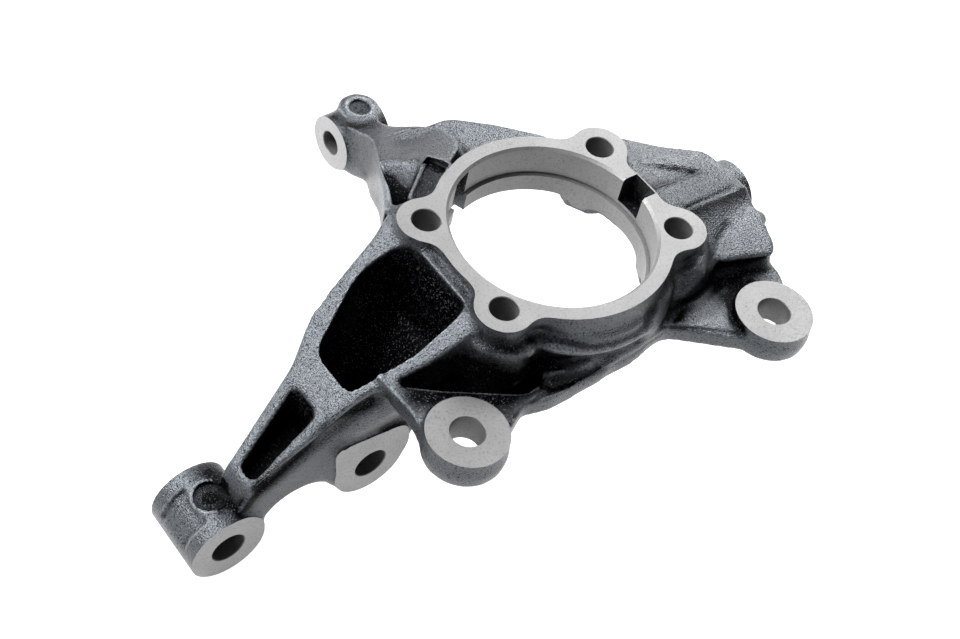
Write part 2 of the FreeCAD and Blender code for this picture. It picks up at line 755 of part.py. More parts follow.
for item in doc.Objects:
    if "Invalid" in item.State or "Error" in item.State:
        raise SystemExit(f"{item.Name} failed: {item.State}")
parts = [knuckle]
for part in parts:
    shape = part.Shape
    if shape.isNull() or not shape.isValid() or len(shape.Solids) != 1:
        raise SystemExit(f"{part.Label} is not one valid solid: {len(shape.Solids)} solids")
    print(part.Label, "volume", round(shape.Volume), "box", shape.BoundBox)
for part in parts:
    part.Shape.exportStep(f"parts/{part.Label}.step")
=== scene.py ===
import json
import math

import bmesh
import bpy
import numpy as np
from mathutils import Matrix, Vector
from mathutils.bvhtree import BVHTree


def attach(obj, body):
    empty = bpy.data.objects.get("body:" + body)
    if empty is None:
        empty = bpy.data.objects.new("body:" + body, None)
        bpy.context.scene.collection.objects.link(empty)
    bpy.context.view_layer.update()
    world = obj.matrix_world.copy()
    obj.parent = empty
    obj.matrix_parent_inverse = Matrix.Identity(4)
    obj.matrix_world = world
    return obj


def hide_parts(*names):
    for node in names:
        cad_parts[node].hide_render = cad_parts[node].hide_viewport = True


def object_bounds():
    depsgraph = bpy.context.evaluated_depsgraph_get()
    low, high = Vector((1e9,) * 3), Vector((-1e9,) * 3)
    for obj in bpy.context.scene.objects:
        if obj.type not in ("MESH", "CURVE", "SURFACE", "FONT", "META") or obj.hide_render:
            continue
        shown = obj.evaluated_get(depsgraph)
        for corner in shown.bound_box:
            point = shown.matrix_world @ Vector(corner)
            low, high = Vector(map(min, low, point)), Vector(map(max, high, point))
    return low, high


# Steering knuckle: a black coated iron casting with bare machined faces.
# Sizes here are in millimetres, in the part's own frame, and become metres where meshes are made.

MM = 0.001
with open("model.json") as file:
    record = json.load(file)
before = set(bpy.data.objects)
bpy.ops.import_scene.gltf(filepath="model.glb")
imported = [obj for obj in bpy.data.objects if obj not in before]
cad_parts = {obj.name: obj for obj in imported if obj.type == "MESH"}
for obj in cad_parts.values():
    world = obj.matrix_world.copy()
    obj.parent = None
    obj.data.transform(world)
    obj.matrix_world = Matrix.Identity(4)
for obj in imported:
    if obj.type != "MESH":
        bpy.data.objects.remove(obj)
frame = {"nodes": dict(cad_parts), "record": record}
cad_box = [list(corner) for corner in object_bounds()]
mounts = {mount["name"]: mount for mount in frame["record"]["mounts"]}

# How the skin of the casting is made

STOCK = 4.0             # metal that stands on each machined face until it is cut
PLUG_LAP = 1.0          # how far a plug reaches into the wall of the hole that it fills
PLUG_SHORT = 0.5        # how far a plug stops short of the bottom of its hole
SLIM_LAP = 0.3          # the same for shallow recesses
VOXEL = 0.9
TRIANGLES = 190000
CAST_PASSES = 9         # smoothing of the skin in general
CRISP_PASSES = 2        # and near the mouth of the big pocket
CRISP_REACH = 0.9
CRISP_FADE = 1.8
FILLET_PASSES = 30
STEP_CORE = 0.6         # share of a small step's reach that gets no fillet
EDGE_PASSES = 4
EDGE_BEND = 0.5         # bend in millimetres that takes the layer "edge" from flat to its end
SHADE_REACH = 24.0      # length of the rays that feel for walls
SHADE_START = 0.4       # their start above the skin
SHADE_GRAZING = 0.15    # rays flatter than this to the skin don't count
SHADE_PASSES = 3
RAYS = 36
# Painted shade in the core pockets: their openness is cut to this share
POCKET_PAINTED_SHADE = 0.68     # share of the openness that is kept inside the core pockets
SHARP_ANGLE = 38        # degrees

# Sizes of the casting

hub = mounts["hub_bolts"]["dims"]
bore_radius = mounts["hub_bore"]["dims"]["r_mm"]
lobe_centres = [
    (sign_x * hub["spacing_x_mm"] / 2, sign_y * hub["spacing_y_mm"] / 2)
    for sign_x in (-1, 1)
    for sign_y in (-1, 1)
]
bore_lip = 15.5
bore_chamfer = 1.2
lip_step = 1.5
groove_width = 1.2
groove_depth = 0.6
ring_height = 24.0
ring_radius = 52.3
lobe_bottom = -31.0
flange_bottom = -37.0
ear_face = -22.9
ear_disc = 17.3
strut_disc = 17.6
strut_face = 17.6
strut_back = -15.0
strut_pad_reach = 22.0
strut_end = -70.0       # the strut's two bosses lie beyond this y
pad_top = -66.2
dimple_radius = 7.0
dimple_rim_radius = 7.8
dimple_depth = 1.7
tie_face = -25.5
tie_back = -0.5
tie_disc = 13.2
tie_end = -100.0        # the tie rod boss lies beyond this x
tie_pad = (-123.1, -11.5, -32.8)
tie_pad_recess = 4.8
tie_pad_rim_radius = 6.2
tie_pad_depth = 1.0
ball_face = 115.0
ball_bore_end = 81.0
ball_chamfer = 0.8
drill_tip = 3.0
notch_half = 6.5
notch_near = 38.0
notch_far = 52.0
notch_depth = 12.7
window_angle = -156.0
window_half = 5.3
window_near = 39.0
window_bottom = -62.0
window_top = -1.5
lug_top = -6.5
lug_edge = 1.3
lug_recess = 1.8
slot_depth = 1.4 * lug_recess
lug_outline = [(-44.0, -14.0), (-56.0, -14.0), (-63.5, -20.0), (-46.0, -42.5), (-38.0, -42.0)]
slot_outline = [(-52.0, -20.5), (-53.5, -16.4), (-62.2, -20.4), (-60.5, -25.5)]
rim_start = (-58.5, -4.0)
rim_slope = 0.667
mouth_corner = 7.0
big_mouth = [(-25.5, -56.8), (-29.5, -78.0), (-14.5, -108.4), (12.0, -108.4), (18.6, -80.0), (17.0, -56.8)]
small_mouth = [(-9.5, -118.6), (2.2, -152.8), (13.8, -152.8), (9.2, -118.6)]


def place_of(name):
    """A mount's position in millimetres."""
    return [1000 * value for value in mounts[name]["pos_m"]]


def radius_of(name):
    return mounts[name]["dims"]["r_mm"]


ears = [place_of("caliper_ear_upper"), place_of("caliper_ear_lower")]
struts = [place_of("strut_top"), place_of("strut_low")]
tie = place_of("tie_rod")
ball = place_of("ball_joint")
boss_middle = (strut_face + strut_back) / 2
boss_crown = struts[0][2] + strut_disc
up = (0, 0, 1)


# Mesh helpers

def new_object(name, mesh):
    item = bpy.data.objects.new(name, mesh)
    bpy.context.scene.collection.objects.link(item)
    return item


def points_of(mesh):
    values = np.empty(len(mesh.vertices) * 3, np.float32)
    mesh.vertices.foreach_get("co", values)
    return values.reshape(-1, 3).astype(float) / MM


def set_points(mesh, points):
    mesh.vertices.foreach_set("co", (points * MM).astype(np.float32).ravel())
    mesh.update()


def normals_of(mesh):
    values = np.empty(len(mesh.vertices) * 3, np.float32)
    mesh.vertex_normals.foreach_get("vector", values)
    return values.reshape(-1, 3).astype(float)


def edge_pairs(mesh):
    """The two ends of each edge."""
    pairs = np.empty(len(mesh.edges) * 2, np.int32)
    mesh.edges.foreach_get("vertices", pairs)
    return pairs.reshape(-1, 2)


def turned(profile, axis, centre, segments=96):
    """Closed mesh of revolution. profile is (radius, distance along axis) from end to end."""
    bm = bmesh.new()
    rings = []
    for radius, along in profile:
        ring = []
        for index in range(segments):
            angle = 2 * math.pi * index / segments
            ring.append(bm.verts.new((radius * math.cos(angle), radius * math.sin(angle), along)))
        rings.append(ring)
    for lower, upper in zip(rings, rings[1:]):
        for index in range(segments):
            after = (index + 1) % segments
            bm.faces.new((lower[index], lower[after], upper[after], upper[index]))
    bm.faces.new(list(reversed(rings[0])))
    bm.faces.new(rings[-1])
    turn = Vector(up).rotation_difference(Vector(axis)).to_matrix().to_4x4()
    bm.transform(Matrix.Scale(MM, 4) @ Matrix.Translation(centre) @ turn)
    bmesh.ops.recalc_face_normals(bm, faces=bm.faces)
    mesh = bpy.data.meshes.new("turned")
    bm.to_mesh(mesh)
    bm.free()
    return mesh


def rod(radius, low, high, axis, centre):
    return turned([(radius, low), (radius, high)], axis, centre)


def block(low, high):
    """Box from its lowest to its highest corner."""
    bm = bmesh.new()
    bmesh.ops.create_cube(bm, size=1.0)
    middle = (Vector(low) + Vector(high)) / 2
    span = Vector(high) - Vector(low)
    bm.transform(Matrix.Scale(MM, 4) @ Matrix.Translation(middle) @ Matrix.Diagonal((*span, 1)))
    mesh = bpy.data.meshes.new("block")
    bm.to_mesh(mesh)
    bm.free()
    return mesh


def prism(outline, bottom, top):
    """Upright prism over an outline seen from above."""
    bm = bmesh.new()
    rings = [[bm.verts.new((x, y, z)) for x, y in outline] for z in (bottom, top)]
    count = len(outline)
    for index in range(count):
        after = (index + 1) % count
        bm.faces.new((rings[0][index], rings[0][after], rings[1][after], rings[1][index]))
    bm.faces.new(list(reversed(rings[0])))
    bm.faces.new(rings[1])
    bm.transform(Matrix.Scale(MM, 4))
    bmesh.ops.recalc_face_normals(bm, faces=bm.faces)
    mesh = bpy.data.meshes.new("prism")
    bm.to_mesh(mesh)
    bm.free()
    return mesh


def inset(outline, distance):
    """A counter-clockwise outline moved inwards, or outwards by a negative distance."""
    moved = []
    for index, here in enumerate(outline):
        before = Vector(outline[index - 1])
        here = Vector(here)
        after = Vector(outline[(index + 1) % len(outline)])
        first = (here - before).normalized()
        second = (after - here).normalized()
        inward = Vector((-first.y - second.y, first.x + second.x)).normalized()
        moved.append(tuple(here + inward * (distance / inward.dot(Vector((-first.y, first.x))))))
    return moved


def rounded(outline, radius, steps=5):
    """An outline whose corners are curves that start at the radius from each corner."""
    points = []
    for index, here in enumerate(outline):
        here = Vector(here)
        start = here + (Vector(outline[index - 1]) - here).normalized() * radius
        end = here + (Vector(outline[(index + 1) % len(outline)]) - here).normalized() * radius
        for step in range(steps + 1):
            share = step / steps
            points.append(tuple(start * (1 - share) ** 2 + here * 2 * share * (1 - share) + end * share ** 2))
    return points


def apply_modifiers(item):
    graph = bpy.context.evaluated_depsgraph_get()
    mesh = bpy.data.meshes.new_from_object(item.evaluated_get(graph))
    item.modifiers.clear()
    item.data = mesh


def cut(item, tool_mesh, material):
    """Cuts a closed mesh away. The new faces take the material."""
    tool = new_object("tool", tool_mesh)
    tool_mesh.materials.clear()
    tool_mesh.materials.append(material)
    boolean = item.modifiers.new("cut", "BOOLEAN")
    boolean.operation = "DIFFERENCE"
    boolean.solver = "MANIFOLD"
    boolean.material_mode = "TRANSFER"
    boolean.object = tool
    apply_modifiers(item)
    bpy.data.objects.remove(tool)


# Casting with machining stock, so that rounding leaves the machined faces alone

def welded_copy():
    """The solid's own mesh, with its faces joined at their edges."""
    bm = bmesh.new()
    bm.from_mesh(frame["nodes"]["knuckle"].data)
    bmesh.ops.remove_doubles(bm, verts=bm.verts, dist=1e-6)
    mesh = bpy.data.meshes.new("casting")
    bm.to_mesh(mesh)
    bm.free()
    return mesh


def add_stock(mesh):
    """Moves each machined face outwards."""
    points = points_of(mesh)
    x, y, z = points.T
    on = 0.02
    ear_top = np.zeros(len(points), bool)
    for ear in ears:
        ear_top |= (abs(z - ear_face) < on) & (np.hypot(x - ear[0], y - ear[1]) < ear_disc + 1)
    strut_zone = (y < strut_end) & (z < pad_top + 1)
    strut_out = strut_zone & (abs(x - strut_face) < on)
    strut_in = strut_zone & (abs(x - strut_back) < on)
    tie_out = (abs(y - tie_face) < on) & (x < tie_end)
    tie_in = (abs(y - tie_back) < on) & (x < tie_end)
    ball_out = abs(y - ball_face) < on
    hub_top = abs(z) < on
    points[hub_top | ear_top, 2] += STOCK
    points[strut_out, 0] += STOCK
    points[strut_in, 0] -= STOCK
    points[tie_out, 1] -= STOCK
    points[tie_in, 1] += STOCK
    points[ball_out, 1] += STOCK
    set_points(mesh, points)


def hole_plugs():
    """Fillings of the drilled holes and of the bore."""
    plugs = [rod(bore_radius + bore_chamfer, -ring_height - SLIM_LAP, STOCK, up, (0, 0, 0))]
    for centre in lobe_centres:
        plugs.append(rod(hub["hole_r_mm"] + PLUG_LAP, lobe_bottom + PLUG_SHORT, STOCK, up, (*centre, 0)))
    for name, ear in zip(("caliper_ear_upper", "caliper_ear_lower"), ears):
        plugs.append(rod(radius_of(name) + PLUG_LAP, flange_bottom + PLUG_SHORT, ear_face + STOCK,
                         up, (ear[0], ear[1], 0)))
    for name, strut in zip(("strut_top", "strut_low"), struts):
        plugs.append(rod(radius_of(name) + PLUG_LAP, strut_back - STOCK, strut_face + STOCK,
                         (1, 0, 0), (0, strut[1], strut[2])))
    plugs.append(rod(radius_of("tie_rod") + PLUG_LAP, tie_face - STOCK, tie_back + STOCK,
                     (0, 1, 0), (tie[0], 0, tie[2])))
    plugs.append(rod(radius_of("ball_joint") + PLUG_LAP, ball_bore_end + PLUG_LAP, ball_face + STOCK,
                     (0, 1, 0), (ball[0], 0, ball[2])))
    return plugs


def recess_plugs():
    """Fillings of the crisp cast recesses: notch, sensor lug, dimple and tie rod pad."""
    notch = block((-notch_half - PLUG_LAP, notch_near, -notch_depth - PLUG_LAP),
                  (notch_half + PLUG_LAP, notch_far + PLUG_SHORT, STOCK))
    lug = prism(inset(lug_outline, -PLUG_SHORT), -ring_height + PLUG_LAP, lug_top + 2 * SLIM_LAP)
    dimple = rod(dimple_radius + SLIM_LAP, boss_crown - 6, boss_crown - dimple_depth,
                 up, (boss_middle, struts[0][1], 0))
    pad = rod(tie_pad_recess + SLIM_LAP, tie_pad[2] - 5, tie_pad[2] - tie_pad_depth,
              up, (*tie_pad[:2], 0))
    return [notch, lug, dimple, pad]


def casting_with_stock():
    mesh = welded_copy()
    add_stock(mesh)
    bm = bmesh.new()
    bm.from_mesh(mesh)
    for plug in hole_plugs() + recess_plugs():
        bm.from_mesh(plug)
    bm.to_mesh(mesh)
    bm.free()
    return mesh


def smoothed(points, pairs, passes):
    """Points after passes of averaging with their neighbours."""
    count = np.bincount(pairs.ravel(), minlength=len(points))[:, None]
    for _ in range(passes):
        total = np.empty_like(points)
        for column in range(points.shape[1]):
            total[:, column] = np.bincount(pairs[:, 0], points[pairs[:, 1], column], len(points))
            total[:, column] += np.bincount(pairs[:, 1], points[pairs[:, 0], column], len(points))
        points = 0.5 * points + 0.5 * total / count
    return points


def remeshed(mesh):
    """The casting as one skin, with its cast roundings and sculpted relief."""
    item = new_object("knuckle_casting", mesh)
    remesh = item.modifiers.new("remesh", "REMESH")
    remesh.mode = "VOXEL"
    remesh.voxel_size = VOXEL * MM
    apply_modifiers(item)
    mesh = item.data
    pairs = edge_pairs(mesh)
    crisp = smoothed(points_of(mesh), pairs, CRISP_PASSES)
    soft = smoothed(crisp, pairs, CAST_PASSES - CRISP_PASSES)
    gap = gap_to(crisp, on_rim(big_mouth, mouth_corner))
    share = np.clip((gap - CRISP_REACH) / CRISP_FADE, 0, 1)[:, None]
    set_points(mesh, crisp * (1 - share) + soft * share)
    fillet(mesh, pairs)
    sculpt(mesh)
    rate_edges(mesh, pairs)
    return item


def rim_height(y):
    """Height of the strut arm's face, which slopes down from rim_start."""
    return rim_start[1] + rim_slope * np.minimum(y - rim_start[0], 0)


def on_rim(outline, corner):
    """A pocket's mouth, closed, on the sloping face of the strut arm."""
    points = rounded(outline, corner)
    points.append(points[0])
    return [(x, y, rim_height(y)) for x, y in points]


def within(points, outline):
    """Which points lie inside an outline, seen from above."""
    x, y, _ = points.T
    inside = np.zeros(len(points), bool)
    for (x0, y0), (x1, y1) in zip(outline, outline[1:] + outline[:1]):
        if y0 != y1:
            inside ^= ((y0 > y) != (y1 > y)) & (x < x0 + (x1 - x0) * (y - y0) / (y1 - y0))
    return inside


def gap_to(points, line):
    """Distance of each point from a line of straight runs."""
    line = np.array(line, float)
    gap = np.full(len(points), 1e9)
    for start, end in zip(line, line[1:]):
        run = end - start
        share = np.clip(((points - start) @ run) / (run @ run), 0, 1)
        gap = np.minimum(gap, np.linalg.norm(points - start - share[:, None] * run, axis=1))
    return gap


# The strut boss's panel and dimple and the tie rod pad keep their small steps: centre and reach
small_steps = [((boss_middle, -170.0, -90.0), 20.0), (tie_pad, 11.0)]


def fillet(mesh, pairs):
    """Concave corners get a casting's fillet: averaging that moves the skin outwards only."""
    start = points_of(mesh)
    share = np.ones(len(start))
    for centre, reach in small_steps:
        away = np.linalg.norm(start - centre, axis=1) / reach - STEP_CORE
        share *= np.clip(away, 0, 1 - STEP_CORE) / (1 - STEP_CORE)
    for _ in range(FILLET_PASSES):
        points = points_of(mesh)
        normals = normals_of(mesh)
        step = smoothed(points, pairs, 1) - points
        out = share * np.clip((step * normals).sum(1), 0, None)
        set_points(mesh, points + out[:, None] * normals)


def rate_edges(mesh, pairs):
    """Writes how convex the skin is at each point, for edge wear and painted edge highlights: 0.5 is flat, 1
    a sharp edge.
    """
    points = points_of(mesh)
    step = points - smoothed(points, pairs, EDGE_PASSES)
    bend = (step * normals_of(mesh)).sum(1)
    write_layer(mesh, "edge", np.clip(0.5 + bend / EDGE_BEND, 0, 1))


def write_layer(mesh, name, values):
    layer = mesh.attributes.new(name, "FLOAT", "POINT")
    layer.data.foreach_set("value", values.astype(np.float32))


def even_rays():
    """Directions spread evenly over the sphere, on a golden spiral."""
    height = 1 - 2 * (np.arange(RAYS) + 0.5) / RAYS
    turn = math.pi * (3 - math.sqrt(5)) * np.arange(RAYS)
    wide = np.sqrt(1 - height ** 2)
    return np.stack([wide * np.cos(turn), wide * np.sin(turn), height], 1)


def openness(mesh, points, normals):
    """Share of the rays from each point that meet nothing near: 1 in the open, 0 deep in a hollow."""
    tree = BVHTree.FromPolygons(points.tolist(), [tuple(polygon.vertices) for polygon in mesh.polygons])
    rays = even_rays()
    facing = normals @ rays.T
    total = np.where(facing > SHADE_GRAZING, facing, 0).sum(1)
    seen = np.zeros(len(points))
    starts = points + SHADE_START * normals
    for column, ray in enumerate(rays):
        ray = Vector(ray)
        for index in np.where(facing[:, column] > SHADE_GRAZING)[0]:
            if tree.ray_cast(starts[index], ray, SHADE_REACH)[0] is None:
                seen[index] += facing[index, column]
    return np.clip(seen / np.maximum(total, 0.01), 0, 1)


def rate_shade(mesh):
    """Writes the openness, lowered by painted shade in the core pockets and along the painted shade lines."""
    points = points_of(mesh)
    normals = normals_of(mesh)
    seen = openness(mesh, points, normals)
    # Painted shade: the walls of the core pockets are drawn darker
    below_mouth = points[:, 2] < rim_height(points[:, 1]) - 1.5
    not_under = normals[:, 2] > -0.5
    for outline in (big_mouth, small_mouth):
        seen[within(points, inset(outline, -1.0)) & below_mouth & not_under] *= POCKET_PAINTED_SHADE
    # Painted shade along the listed lines: the openness is lowered there
    for line, radius, kept in painted_shade_lines:
        seen *= 1 - (1 - kept) * np.exp(-((gap_to(points, line) / radius) ** 2))
    write_layer(mesh, "open", smoothed(seen[:, None], edge_pairs(mesh), SHADE_PASSES)[:, 0])


# Sculpting: each stroke raises (or lowers) the skin along a line, as a hand tool does.
# The lines were read off the photograph and cast onto the skin.

def stroke(mesh, line, radius, height):
    points = points_of(mesh)
    normals = normals_of(mesh)
    line = np.array(line, float)
    reach = 2.5 * radius
    low = line.min(0) - reach
    high = line.max(0) + reach
    close = np.where(((points > low) & (points < high)).all(1))[0]
    if not len(close):
        return
    push = height * np.exp(-((gap_to(points[close], line) / radius) ** 2))
    points[close] += push[:, None] * normals[close]
    set_points(mesh, points)


def sculpt(mesh):
    for line, radius, height in strokes:
        stroke(mesh, line, radius, height)


ring_groove = [(37.6, -55.8, -7.1), (41.0, -50.4, -8.5), (40.0, -43.8, -7.2), (39.4, -36.3, -8.3),
               (43.5, -31.2, -10.1), (49.1, -24.5, -11.9), (53.2, -16.5, -14.1), (55.3, -7.2, -14.7),
               (55.6, 3.8, -15.6), (54.7, 11.1, -15.0), (53.2, 15.6, -12.5)]
bead = [(43.0, -43.1, -13.3), (47.1, -29.9, -15.5), (51.0, -22.0, -17.2), (53.8, -13.2, -18.1),
        (55.5, -1.0, -19.0), (53.9, 12.2, -19.7)]
under_bead = [(41.8, -38.8, -27.0), (48.0, -28.3, -24.5), (52.0, -18.7, -22.5), (54.1, -10.9, -22.6),
              (55.2, -1.1, -23.5), (54.5, 10.0, -25.0)]
lower_bead = [(43.6, -47.4, -29.7), (46.2, -35.8, -31.3), (51.8, -25.3, -26.8), (53.9, -16.5, -26.0)]
flange_valley = [(46.0, -42.0, -34.0), (53.0, -36.0, -27.5), (54.9, -28.9, -27.5), (55.4, -21.7, -27.5),
                 (56.0, -12.8, -27.6)]
parting_line = [(58.6, -59.3, -27.8), (56.0, -44.4, -27.6), (56.8, -23.6, -27.7), (56.5, -0.7, -30.6),
                (55.3, 11.9, -31.4), (53.6, 25.5, -30.4)]
under_lobe = [(45.0, 27.0, -7.0), (43.5, 36.0, -8.0), (40.9, 44.8, -8.0), (39.2, 52.4, -7.0)]
ring_side = [(44.0, 31.5, -9.5), (47.0, 24.8, -10.0), (50.8, 16.5, -11.5), (52.8, 12.0, -12.5)]
hump = [(42.5, 50.0, -15.5), (45.5, 41.0, -19.5), (48.5, 30.5, -20.5), (52.0, 19.0, -21.5)]
hump_foot = [(42.0, 67.0, -25.5), (45.3, 63.4, -26.9), (47.1, 54.8, -26.4), (47.7, 45.1, -26.5),
             (48.6, 38.4, -27.0), (50.9, 32.7, -27.4)]
facet_side = [(29.4, 80.6, -13.9), (33.4, 72.5, -14.4), (38.6, 65.8, -15.6), (42.6, 64.7, -22.3)]
riser = [(42.0, 65.5, -22.5), (42.8, 67.6, -22.3), (45.1, 76.3, -21.9), (47.9, 84.7, -21.6),
         (50.0, 91.0, -21.5)]
panel_low = [(16.4, 64.4, -5.4), (15.8, 73.6, -6.6), (15.0, 85.9, -8.2), (14.2, 95.1, -9.6)]
panel_high = [(-1.2, 53.5, -7.0), (-0.4, 59.4, -6.4), (-0.4, 68.7, -7.3), (-0.3, 78.1, -8.3),
              (0.0, 86.9, -8.6)]
ear_foot = [(51.2, 71.6, -27.2), (56.0, 63.8, -26.6), (63.7, 57.8, -26.4), (70.8, 55.6, -26.4)]
plate_edge = [(54.0, 30.2, -28.1), (61.0, 40.4, -27.8), (72.0, 54.1, -27.3)]
arm_flank = [(19.0, -98.1, -38.0), (17.1, -104.1, -42.5), (16.0, -113.2, -49.5), (16.0, -122.2, -55.0),
             (16.0, -131.4, -59.5), (15.9, -140.5, -64.0), (15.6, -148.5, -68.0)]
steering_rib = [(-93.1, -15.5, -22.8), (-92.3, -6.2, -22.4), (-88.0, 1.5, -19.5), (-82.0, 6.6, -19.0),
                (-73.6, 6.1, -18.9), (-66.5, 4.8, -18.9)]


def arc(centre, radius, start, end, count):
    """Points (x, y) on an arc, between two angles in radians."""
    return [(centre[0] + radius * math.cos(angle), centre[1] + radius * math.sin(angle))
            for angle in np.linspace(start, end, count)]


dimple_rim = [(x, y, struts[0][2] + math.sqrt(strut_disc ** 2 - (y - struts[0][1]) ** 2))
              for x, y in arc((boss_middle, struts[0][1]), dimple_rim_radius, 2.6, 6.0, 13)]
tie_pad_rim = [(x, y, tie_pad[2]) for x, y in arc(tie_pad, tie_pad_rim_radius, 0, 2 * math.pi, 17)]
boss_panel = [[(x, -170.9, -83.3), (x, -175.3, -86.5), (x, -180.0, -95.0)] for x in (-6.85, 9.45)]

# Line, radius of the tool and height, in millimetres
strokes = [
    (ring_groove, 2.6, -1.5),
    (bead, 3.0, 1.5),
    (under_bead, 2.6, -1.8),
    (lower_bead, 3.0, 1.1),
    (flange_valley, 3.4, -2.4),
    (parting_line, 1.0, -0.5),
    (under_lobe, 2.4, -1.8),
    (ring_side, 2.6, -1.6),
    (hump, 5.0, 2.4),
    (hump_foot, 2.4, -1.6),
    (facet_side, 2.6, -1.0),
    (riser, 3.0, -1.8),
    (panel_low, 1.3, -0.9),
    (panel_high, 1.3, -0.9),
    (ear_foot, 2.2, -1.2),
    (plate_edge, 1.2, -0.8),
    (arm_flank, 4.0, -2.4),
    (steering_rib, 1.2, -0.8),
    (dimple_rim, 1.2, 0.6),
    (tie_pad_rim, 1.2, 0.5),
    (boss_panel[0], 1.1, -1.3),
    (boss_panel[1], 1.0, -0.9),
]

# Lines along which shade is painted: the coat is drawn darker and duller there

near_plate = [(31.0, -90.0, -27.5), (35.0, -80.0, -27.5), (41.0, -68.0, -27.5), (49.0, -58.0, -27.5)]
boss_neck = [(2.1, -157.6, -86.1), (10.8, -159.1, -79.7), (15.4, -158.5, -80.0), (16.0, -154.8, -77.7)]
flank_top = [(15.6, -155.3, -74.2), (14.8, -144.3, -69.6), (14.0, -134.3, -62.8), (13.6, -126.5, -57.4),
             (15.4, -119.7, -46.8), (14.1, -108.3, -45.0), (15.9, -100.1, -41.4)]
lobe_side = [(39.0, 50.0, -5.5), (41.0, 44.0, -6.0), (43.5, 35.0, -8.0), (48.5, 25.0, -9.0),
             (52.0, 14.0, -10.5)]
boss_back = [(-10.9, -162.5, -81.5), (-10.1, -158.2, -82.1), (-5.7, -155.0, -83.3), (3.9, -156.3, -78.9)]
dimple_floor = [(1.3, -165.0, -82.5), (1.3, -160.5, -82.5)]
ring_foot = [(-19.0, -53.0, -3.5), (-6.0, -55.0, -3.5), (9.0, -54.5, -3.5), (18.0, -57.0, -3.5)]
lobe_foot = [(30.0, -60.0, -6.0), (36.0, -57.0, -7.5), (40.5, -50.0, -9.0)]
tie_front = [(-126.4, -23.5, -37.0), (-118.5, -22.3, -35.1), (-111.4, -20.4, -31.7), (-106.0, -14.3, -29.5)]
tie_flank = [(-97.2, -24.4, -47.5), (-83.2, -31.9, -38.8), (-66.4, -42.1, -26.0), (-49.9, -52.3, -13.0)]
flank_low = [(16.0, -140.0, -86.0), (16.0, -124.1, -78.2), (16.2, -115.6, -67.4), (16.1, -109.7, -55.4)]

# Line, radius and share of the openness that is kept
painted_shade_lines = [
    (near_plate, 8.0, 0.64),
    (boss_neck, 5.0, 0.65),
    (boss_back, 4.0, 0.72),
    (dimple_floor, 5.0, 0.62),
    (flank_top, 3.0, 0.68),
    (arm_flank, 9.0, 0.86),
    (lobe_side, 4.0, 0.75),
    (ear_foot, 3.5, 0.72),
    (ring_foot, 3.0, 0.74),
    (lobe_foot, 3.5, 0.70),
    (tie_front, 3.5, 0.68),
    (tie_flank, 6.0, 0.70),
    (flank_low, 9.0, 0.88),
    (panel_low, 10.0, 0.80),
    (panel_high, 10.0, 0.82),
]


# Materials

def material_nodes(name):
    material = bpy.data.materials.new(name)
    material.use_nodes = True
    nodes = material.node_tree.nodes
    nodes.clear()
    output = nodes.new("ShaderNodeOutputMaterial")
    shader = nodes.new("ShaderNodeBsdfPrincipled")
    material.node_tree.links.new(shader.outputs["BSDF"], output.inputs["Surface"])
    return material, shader


def add(material, kind, settings=(), links=(), **attributes):
    node = material.node_tree.nodes.new(kind)
    for name, value in attributes.items():
        setattr(node, name, value)
    for socket, value in settings:
        node.inputs[socket].default_value = value
    for socket, source in links:
        material.node_tree.links.new(source, node.inputs[socket])
    return node


def ramp(material, source, stops):
    node = add(material, "ShaderNodeValToRGB", links=[("Fac", source)])
    elements = node.color_ramp.elements
    while len(elements) < len(stops):
        elements.new(0.5)
    for element, (position, colour) in zip(elements, stops):
        element.position = position
        element.color = (*colour, 1) if isinstance(colour, tuple) else (colour, colour, colour, 1)
    return node.outputs["Color"]


def noise(material, source, scale, detail=2.0, roughness=0.5):
    node = add(material, "ShaderNodeTexNoise",
               settings=[("Scale", scale), ("Detail", detail), ("Roughness", roughness)],
               links=[("Vector", source)])
    return node.outputs["Fac"]


def mixed(material, blend, factor, first, second):
    """First and second are sockets or colours, the factor is a socket or a number."""
    node = add(material, "ShaderNodeMix", data_type="RGBA", blend_type=blend)
    for index, value in ((0, factor), (6, first), (7, second)):
        if isinstance(value, bpy.types.NodeSocket):
            material.node_tree.links.new(value, node.inputs[index])
        elif isinstance(value, tuple):
            node.inputs[index].default_value = (*value, 1)
        else:
            node.inputs[index].default_value = value
    return node.outputs[2]


def bump(material, height, strength, distance, under=None):
    links = [("Height", height)]
    if under is not None:
        links.append(("Normal", under))
    node = add(material, "ShaderNodeBump",
               settings=[("Strength", strength), ("Distance", distance * MM)], links=links)
    return node.outputs["Normal"]


def times(material, first, second):
    return mixed(material, "MULTIPLY", 1.0, first, second)


def mesh_layer(material, name):
    """The values of a layer that the mesh carries."""
    return add(material, "ShaderNodeAttribute", attribute_name=name).outputs["Fac"]


def object_place(material):
    return add(material, "ShaderNodeTexCoord").outputs["Object"]


COAT_DARK = (0.004, 0.0043, 0.005)
COAT_LIGHT = (0.008, 0.0085, 0.010)
# Colour of the painted highlight specks in the coat
PAINTED_GLINT = (0.05, 0.054, 0.06)
COAT_SHEEN = (0.84, 0.92, 1.0)
# Colour of the edge wear, which is also a painted edge highlight
WORN_IRON_AND_HIGHLIGHT = (0.13, 0.14, 0.15)


# Noise scales are per metre: 1500 makes grains of about 0.7 mm

